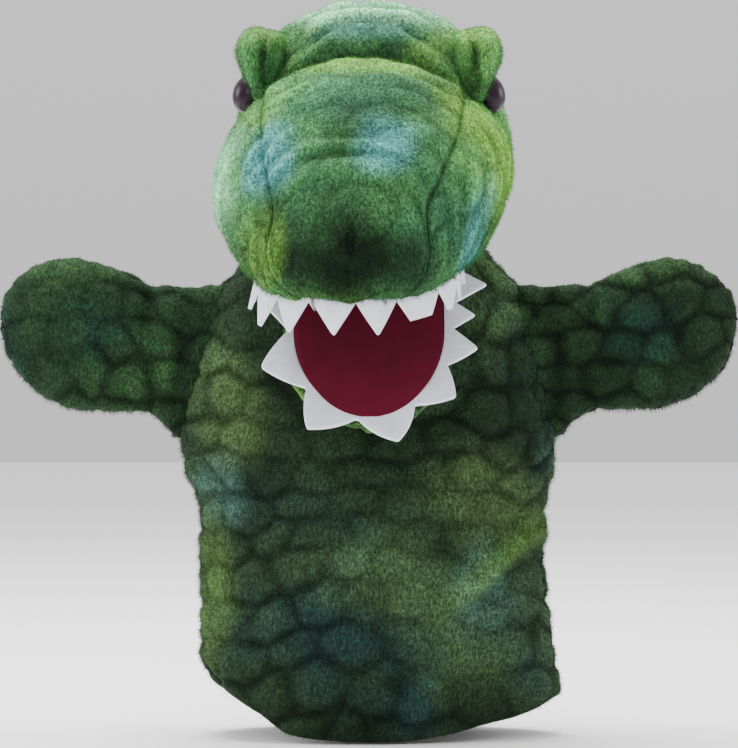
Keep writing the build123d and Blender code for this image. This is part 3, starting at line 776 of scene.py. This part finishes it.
U, V = np.meshgrid(np.linspace(0, 2 * math.pi, 121)[:-1], np.linspace(0, 1, 26))
P, n = surface(neck_surface, U, V)
raised, tint = dressed(P, U * 35, P[..., 2], 16, 12, 1.0, [], 0.25, 61, 0.5, 0.5, 0.1)
P = P + n * (raised * (1 - bump(V, 0.12)) - 0.5)[..., None]
neck_skin = grid_piece("neck_plush", P, PLUSH, tint, thick=1.6, wrap=True)
give_pile(neck_skin, 1.8, 61)
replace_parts(neck_skin, "neck_collar")
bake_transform(neck_skin)

# ------------------------------------------------------------------ brows
BROW = (41.5, -24.0, 254.0)
BROW_FOLD = ((-3, 11), (-2, -9))


def brow_surface(U, V):
    """A small stuffed leaf over the eye. U goes round it, V along it from front to back."""
    lon, lat = U, (V - 0.5) * math.pi
    c = np.cos(lat)
    x = np.sign(np.cos(lon)) * np.abs(np.cos(lon)) ** 0.6 * c**0.6
    z = np.sign(np.sin(lon)) * np.abs(np.sin(lon)) ** 0.5 * c**0.6
    y = np.sign(np.sin(lat)) * np.abs(np.sin(lat)) ** 1.1
    width = 8.6 * (1 - 0.66 * smooth(-z, -0.3, 1.0))
    up = np.where(z > 0, 13.5, 16.5 * (1 - 0.6 * smooth(y, -0.6, 0.4)))
    lean = -2.5 * smooth(z, 0.3, 1) - 0.4
    return np.stack([x * width + lean, y * 20.5 - 2.5 * z, z * up + 1.6 * x], -1)


def brow(side, name):
    U, V = np.meshgrid(np.linspace(0, 2 * math.pi, 73)[:-1], np.linspace(0.004, 0.996, 44))
    P, n = surface(brow_surface, U, V)
    x, y, z = P[..., 0], P[..., 1], P[..., 2]
    raised, tint = dressed(P, U * 9, y, 12, 9, 0.8, [], 0.30, 71 + side, 0.8, 0.3, 0.25)
    raised = raised - 2.6 * crease(x, z, *BROW_FOLD, 2.0) * (y < 0)
    raised = raised + 1.3 * crease(x, z, (4, 9), (1, -4), 2.6) * (y < 0)
    raised = raised - 1.3 * bump(y - 6, 2.5)
    P = P - n * raised[..., None]
    # Painted light and shade: darker in the brow's fold and towards its underside, lighter towards
    # its top.
    dark = 0.75 * crease(x, z, *BROW_FOLD, 2.4) * (y < 0) + 0.35 * smooth(-z, 2, 12)
    tint = mixed(tint, LIME, 0.35 * smooth(z, 2, 12)) * (1 - np.clip(dark, 0, 0.8))[..., None]
    P[0], P[-1] = P[0].mean(axis=0), P[-1].mean(axis=0)
    P = (P + BROW) * np.array((side, 1, 1))
    obj = grid_piece(name, P, PLUSH, tint, wrap=True, flip=side > 0)
    give_pile(obj, 1.5, 71 + side)
    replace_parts(obj, "brow_left" if side < 0 else "brow_right")
    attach(obj, "head")


brow(-1, "brow_left_plush")
brow(1, "brow_right_plush")

# ------------------------------------------------------------------ eyes
EYE_FACING = Vector((-0.93, -0.25, 0.20)).normalized()  # the left eye's; the right is its mirror
EYE_ACROSS = 45.6


def eye_button(side, name):
    """A domed plastic eye with a narrow rim, its back set into the skin."""
    U, V = np.meshgrid(np.linspace(0, 2 * math.pi, 49)[:-1], np.linspace(0, 1, 26))
    lat = V * math.pi
    ring = np.sin(lat) * (1 + 0.05 * bump(V - 0.56, 0.05))
    dome = np.where(lat < math.pi / 2, 5.6, 3.0) * np.cos(lat)
    local = np.stack([7.0 * ring * np.cos(U), 7.3 * ring * np.sin(U), dome], -1)
    turn = np.array(EYE_FACING.to_track_quat("Z", "Y").to_matrix())
    P = local @ turn.T + np.array((-EYE_ACROSS, EYE_PLACE[1], EYE_PLACE[2]))
    P = P * np.array((-side, 1, 1))
    obj = grid_piece(name, P, EYE, wrap=True, flip=side < 0)
    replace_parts(obj, "eye_left" if side < 0 else "eye_right")
    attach(obj, "head")


eye_button(-1, "eye_left_button")
eye_button(1, "eye_right_button")

# ------------------------------------------------------------------ arms
ARM = [  # reach, centre height, half height, half thickness
    (61, 142.5, 30, 9), (70, 143, 28.5, 8.5), (78, 146.5, 25.5, 8.5), (86, 148, 24.8, 9.2),
    (97, 151, 27, 11.2), (112, 153.7, 28.6, 12.4), (124, 155.2, 26, 11), (132, 156.2, 20.5, 8.6),
    (137.5, 157, 14.5, 6), (140.3, 157.5, 8, 3.6), (141.3, 157.5, 1.5, 1),
]
SHOULDER_X, ARM_LENGTH = 61, 80.3
TOP_CREASE = ((84, 174), (86, 152))
LOW_CREASE = ((85, 123), (82, 140))
ARM_FOLDS = [
    (*TOP_CREASE, 3.2, -2.4), (*LOW_CREASE, 3.0, -2.2), ((79, 172), (79, 158), 3, 1.2),
    ((92, 126), (96, 138), 3.0, -1.1), ((90, 172), (95, 160), 3.0, -1.0),
    ((72, 165), (74, 128), 2.2, -1.6),
]
ARM_PATCHES = [
    ((103, 0, 154), (18, 20, 14), TEAL, 0.35), ((114, 0, 178), (30, 20, 8), GRASS, 0.25),
    ((118, 0, 136), (20, 20, 12), FERN, 0.40), ((86, 0, 160), (12, 20, 14), FERN, 0.6),
    ((76, 0, 128), (12, 20, 14), PINE, 0.6), ((130, 0, 158), (10, 20, 18), FERN, 0.7),
]


def arm_surface(U, V):
    """U goes round the arm from its lower seam, V from the shoulder to the tip."""
    x = SHOULDER_X + ARM_LENGTH * (1 - np.clip(1 - V, 0, 1) ** 1.25)
    mid, tall, deep = through(ARM, x)
    z = mid - tall * np.cos(U)
    y = np.sin(U)
    slant = -0.179 * (z - 142) * (1 - smooth(x, 66, 104))
    return np.stack([x + slant, 5 + deep * np.sign(y) * np.abs(y) ** 0.82, z], -1)


def arm_half(side, name, front):
    start = math.pi if front else 0
    U, V = np.meshgrid(np.linspace(start, start + math.pi, 60), np.linspace(0, 1, 74))
    P, n = surface(arm_surface, U, V)
    x, z = P[..., 0], P[..., 2]
    y = P[..., 1] + (40 if side < 0 else 90)  # so the two arms pucker differently
    seed = 81 + (5 if side > 0 else 0) + (0 if front else 2)
    raised, tint = dressed(P, x * 1.05, z, 17.0, 13.0, 1.1, ARM_PATCHES, -0.26, seed, 1.3, 0.85)
    seam = 20 * np.minimum(np.mod(U, math.pi), math.pi - np.mod(U, math.pi))
    along = np.where(np.cos(U) > 0, x, -x) + 0.6 * z
    pucker = np.sin(along * 0.80 + 4 * noise(np.stack([x, y, z], -1), 16, seed))
    raised = raised - 1.6 * bump(seam, 1.5) + 0.40 * pucker * bump(seam - 6, 5)
    P = P + n * folded(raised, x, z, ARM_FOLDS)[..., None]
    # Painted shade: darker at the seams, along a crease by the shoulder, and along the top and low
    # creases.
    shade = (1 - 0.5 * bump(seam, 1.8)) * (1 - 0.55 * crease(x, z, (69, 170), (74, 118), 4))
    high = 0.45 * crease(x, z, (84, 174), (86, 150), 3)
    low = 0.4 * crease(x, z, (85, 123), (82, 142), 3)
    tint = dulled(tint, 0.10) * (shade * (1 - high - low))[..., None]
    P = P * np.array((side, 1, 1))
    obj = grid_piece(name, P, PLUSH, tint, thick=1.6, flip=side < 0)
    give_pile(obj, 1.6, seed)
    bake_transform(obj)
    return obj


def arm_batting(side, word):
    """Loose filling in the outer part of the arm."""
    U, V = np.meshgrid(np.linspace(0, 2 * math.pi, 61)[:-1], np.linspace(0.30, 0.97, 40))
    P, n = surface(arm_surface, U, V)
    P = (P - n * (3.6 + 0.7 * noise(P, 9, 88))[..., None]) * np.array((side, 1, 1))
    obj = grid_piece(f"arm_{word}_batting", P, FIBREFILL, thick=1.5, wrap=True, flip=side < 0)
    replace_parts(obj, f"arm_{word}_filling")
    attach(obj, f"arm_{word}")


for side, word in ((-1, "left"), (1, "right")):
    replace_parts(arm_half(side, f"arm_{word}_front_plush", True), f"arm_{word}_front")
    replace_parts(arm_half(side, f"arm_{word}_back_plush", False), f"arm_{word}_back")
    arm_batting(side, word)

# ------------------------------------------------------------------ mouth
COS_UP, SIN_UP = math.cos(UPPER_DROOP), math.sin(UPPER_DROOP)
COS_LOW, SIN_LOW = math.cos(LOWER_DROOP), math.sin(LOWER_DROOP)
LIP = (39.0, 40.0, 56.5)  # half width, length of the straight part, length of the rounded end
TONGUE = (29.5, 38.0, 41.0)
LIP_SWEEP = 150.0  # degrees from the middle of the front round to a corner of the mouth


def upper_jaw(across, along, into):
    """A point of the upper jaw: across, forward of the crease, and down into the mouth."""
    y = CREASE_Y - along * COS_UP - into * SIN_UP
    z = CREASE_Z - along * SIN_UP - into * COS_UP
    return head_bend(np.stack(np.broadcast_arrays(across, y, z), -1).astype(float))


def lower_jaw(across, along, into):
    """A point of the lower jaw: across, forward of the crease, and up into the mouth."""
    y = CREASE_Y - along * COS_LOW - into * SIN_LOW
    z = CREASE_Z - along * SIN_LOW + into * COS_LOW
    return np.stack(np.broadcast_arrays(across, y, z), -1).astype(float)


def lip_place(run, half, straight, end):
    """Across and along for places from one corner (-1) round the front (0) to the other (1),
    and the way out of the mouth there."""
    turned = np.abs(run) * LIP_SWEEP
    side = np.where(run >= 0, 1.0, -1.0)
    angle = np.radians(np.minimum(turned, 90))
    across = side * half * np.sin(angle)
    back = straight - (turned - 90) / (LIP_SWEEP - 90) * straight
    along = np.where(turned <= 90, straight + end * np.cos(angle), back)
    out_a = side * np.sin(angle) * end
    out_l = np.cos(angle) * half
    size = np.hypot(out_a, out_l)
    return across, along, out_a / size, out_l / size


def jaw_lining(name, place, shape, sag, seed):
    """Felt over a jaw: rolled over the crease at the back, its edge turned away elsewhere."""
    half, straight, end = shape
    V, U = np.meshgrid(np.linspace(0, 1, 70), np.linspace(-1, 1, 61), indexing="ij")
    along = (straight + end - 0.3) * V
    rounded = half * np.sqrt(np.clip(1 - ((along - straight) / end) ** 2, 0.0002, 1))
    reach = np.where(along < straight, half, rounded)
    across = U * reach
    p = np.stack([across, along, 0 * along], -1)
    into = sag * (1 - U**2) * np.sin(math.pi * np.clip(V * 1.05, 0, 1))
    into = into + 0.55 * layered(p, 22, seed)
    into = into + 0.5 * bump(along - 6, 3) * np.cos(across * 0.35)
    into = into - 1.5 * smooth(np.abs(U), 0.9, 1.0)
    into = into * smooth(along, 0, 5) + 1.1
    roll = bump(along, 1.2)
    P = place(across, along * (1 - 0.9 * roll), into)
    return grid_piece(name, P, MOUTH_FELT, thick=1.3, flip=place is lower_jaw)


palate = jaw_lining("palate_felt", upper_jaw, (LIP[0] - 1.5, LIP[1], LIP[2] - 3.5), 0.5, 91)
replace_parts(palate, "palate_lining")
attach(palate, "head")
tongue = jaw_lining("tongue_felt", lower_jaw, TONGUE, -0.2, 95)
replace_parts(tongue, "tongue_lining")
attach(tongue, "jaw")


def teeth_profile(run, teeth):
    """How far the felt reaches past its strip at each place, and a number for each tooth."""
    reach = np.zeros_like(run)
    which = np.zeros_like(run)
    for k, (middle, wide, tall, blunt) in enumerate(teeth):
        d = np.abs(run - middle) / wide
        shape = tall * np.clip((1 - d) / (1 - blunt), 0, 1)
        which = np.where(shape > reach, k, which)
        reach = np.maximum(reach, shape)
    return reach, which


UPPER_TEETH = [  # middle, half width, height, bluntness
    (-0.82, 0.082, 9, 0.1), (-0.665, 0.078, 12, 0.05), (-0.51, 0.078, 11, 0.08),
    (-0.365, 0.074, 13, 0.06), (-0.225, 0.072, 12.5, 0.05), (-0.06, 0.080, 11.5, 0.05),
    (0.10, 0.080, 11.5, 0.04), (0.285, 0.105, 8.5, 0.45), (0.475, 0.086, 10, 0.1),
    (0.65, 0.088, 10.5, 0.06), (0.82, 0.080, 8.5, 0.1),
]
LOWER_TEETH = [
    (-0.72, 0.115, 9, 0.02), (-0.46, 0.130, 11, 0.04), (-0.19, 0.128, 12, 0.02),
    (0.085, 0.130, 11.5, 0.02), (0.335, 0.115, 9, 0.04), (0.525, 0.085, 10, 0.02),
    (0.675, 0.075, 10, 0.02), (0.825, 0.100, 15, 0.02),
]
UPPER_STRIP, LOWER_STRIP = 1.2, 2.6  # how much felt shows above the notches


def upper_tooth_strip():
    V, R = np.meshgrid(np.linspace(0, 1, 9), np.linspace(-0.93, 0.93, 361), indexing="ij")
    reach, which = teeth_profile(R, UPPER_TEETH)
    across, along, out_a, out_l = lip_place(R, LIP[0] - 1.0, LIP[1], LIP[2] - 0.4)
    down = V * (UPPER_STRIP + reach) - 0.8
    lean = 0.10 + 0.16 * (scramble(which, 0 * which, 5) - 0.3)
    curl = lean * down + 0.9 * (scramble(which, 0 * which, 8) - 0.5) * (down / 10) ** 2
    twist = 0.8 * (scramble(which, 0 * which, 6) - 0.5) * (down / 10)
    a = across + out_a * curl + twist * out_l
    f = along + out_l * curl - twist * out_a
    P = upper_jaw(a, f, down)
    obj = grid_piece("upper_teeth_felt", P, TEETH_FELT, thick=1.3)
    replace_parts(obj, "upper_teeth")
    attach(obj, "head")


def lower_tooth_strip():
    V, R = np.meshgrid(np.linspace(0, 1, 11), np.linspace(-0.90, 0.90, 361), indexing="ij")
    reach, which = teeth_profile(R, LOWER_TEETH)
    across, along, out_a, out_l = lip_place(R, TONGUE[0] - 1.5, TONGUE[1], TONGUE[2] - 1.5)
    out = V * (LOWER_STRIP + reach)
    curl = (scramble(which, 0 * which, 15) - 0.35) * (out / 10) ** 2
    up = 0.8 + 0.35 * smooth(out, 0, 4) + curl
    narrow = 1 - 0.10 * smooth(np.abs(R), 0.5, 0.62)
    P = lower_jaw(across + out_a * out * narrow, along + out_l * out, up)
    obj = grid_piece("lower_teeth_felt", P, TEETH_FELT, thick=1.3, flip=True)
    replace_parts(obj, "lower_teeth")
    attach(obj, "jaw")


upper_tooth_strip()
lower_tooth_strip()

# ------------------------------------------------------------------ chin
CHIN = [  # forward of the crease, half width, depth
    (-3, 26, 6), (3, 28, 8), (20, 30.3, 16), (42, 30.3, 20), (60, 26.5, 18), (71, 18.5, 12.5),
    (79, 6, 4.5), (80.4, 1, 1),
]


def chin_surface(U, V):
    """U goes under the jaw from its left edge to its right edge, V from the crease to the tip."""
    along = -3 + 83.3 * (1 - np.clip(1 - V, 0, 1) ** 1.2)
    half, deep = through(CHIN, along)
    angle = math.pi * U
    hang = 0.86 * deep * np.clip(np.sin(angle), 0, 1) ** 0.85
    return lower_jaw(-half * np.cos(angle), along, -1.2 - hang)


U, V = np.meshgrid(np.linspace(0.0, 1.0, 58), np.linspace(0, 1, 62))
P, n = surface(chin_surface, np.clip(U, 0.004, 0.996), V, 0.003)
raised, tint = dressed(P, U * 68, V * 84, 16, 12, 1.0, [], 0.25, 101, 0.8)
raised = raised - 1.3 * bump((U - 0.5) * 70, 1.5)
P = P - n * (raised * smooth(np.minimum(U, 1 - U), 0, 0.06))[..., None]
chin = grid_piece("chin_plush", P, PLUSH, tint * 0.85, thick=1.6, flip=True)
give_pile(chin, 1.8, 101)
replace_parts(chin, "chin_panel")
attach(chin, "jaw")

# ------------------------------------------------------------------ nose stitch
STITCHES = 5
STITCH_LENGTH = 8
run = np.linspace(0, 1, 90)
loop = run * 2 * math.pi * STITCHES
points = np.stack(
    [0.55 * np.sin(loop), -118.6 - 0.5 * np.cos(loop), NOSE_PINCH + STITCH_LENGTH * (run - 0.5)], -1
)
stitch_curve = bpy.data.curves.new("nose_stitch_thread", "CURVE")
stitch_curve.dimensions = "3D"
stitch_curve.bevel_depth = 0.25 * MM
stitch_curve.bevel_resolution = 2
spline = stitch_curve.splines.new("POLY")
spline.points.add(len(points) - 1)
weighted = np.concatenate([head_bend(points) * MM, np.ones((len(points), 1))], 1)
spline.points.foreach_set("co", weighted.ravel())
stitch = bpy.data.objects.new("nose_stitch_thread", stitch_curve)
bpy.context.scene.collection.objects.link(stitch)
stitch_curve.materials.append(THREAD)
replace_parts(stitch, "nose_stitch")
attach(stitch, "head")

# ------------------------------------------------------------------ hidden soft pieces
def lining_panel(name, first, last, node):
    """Thin woven lining just inside the plush, sewn to the hem's turning."""
    U, V = np.meshgrid(np.linspace(first, last, 60), np.linspace(0.05, 0.985, 50))
    P, n = surface(torso_surface, U, V)
    P = P - n * (3.0 + 0.3 * noise(P, 16, 5))[..., None]
    obj = grid_piece(name, P, LINING, thick=0.4)
    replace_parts(obj, node)
    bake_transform(obj)


lining_panel("sleeve_lining_front_cloth", math.pi, 2 * math.pi, "sleeve_lining_front")
lining_panel("sleeve_lining_back_cloth", 0, math.pi, "sleeve_lining_back")

U, V = np.meshgrid(np.linspace(-0.94, 0.94, 70), np.linspace(0.06, 0.95, 60))
P, n = surface(head_surface, U, V, 0.002)
P = head_bend(P - n * (4.2 + 0.8 * noise(P, 9, 6))[..., None])
batting = grid_piece("head_batting", P, FIBREFILL, thick=3.5)
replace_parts(batting, "head_padding")
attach(batting, "head")

# ------------------------------------------------------------------ pieces kept from the frame
KEPT = {
    "eye_washer_left": BOARD, "eye_washer_right": BOARD,
    "upper_mouth_board": BOARD, "lower_mouth_board": BOARD, "jaw_padding": FIBREFILL,
    "finger_pocket": LINING, "thumb_pocket": LINING,
    "neck_lining": LINING,
}
for node_name, material in KEPT.items():
    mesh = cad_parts[node_name].data
    mesh.materials.clear()
    mesh.materials.append(material)
    for polygon in mesh.polygons:
        polygon.use_smooth = True

# ------------------------------------------------------------------ stage and finish
bpy.ops.mesh.primitive_plane_add(size=8, location=(0, 0, -0.0005))
floor = bpy.context.object
floor.name = "floor"
floor_mat, _, floor_bsdf = new_material("floor_paper")
floor_bsdf.inputs["Base Color"].default_value = (0.93, 0.93, 0.93, 1)
floor_bsdf.inputs["Roughness"].default_value = 0.9
floor.data.materials.append(floor_mat)
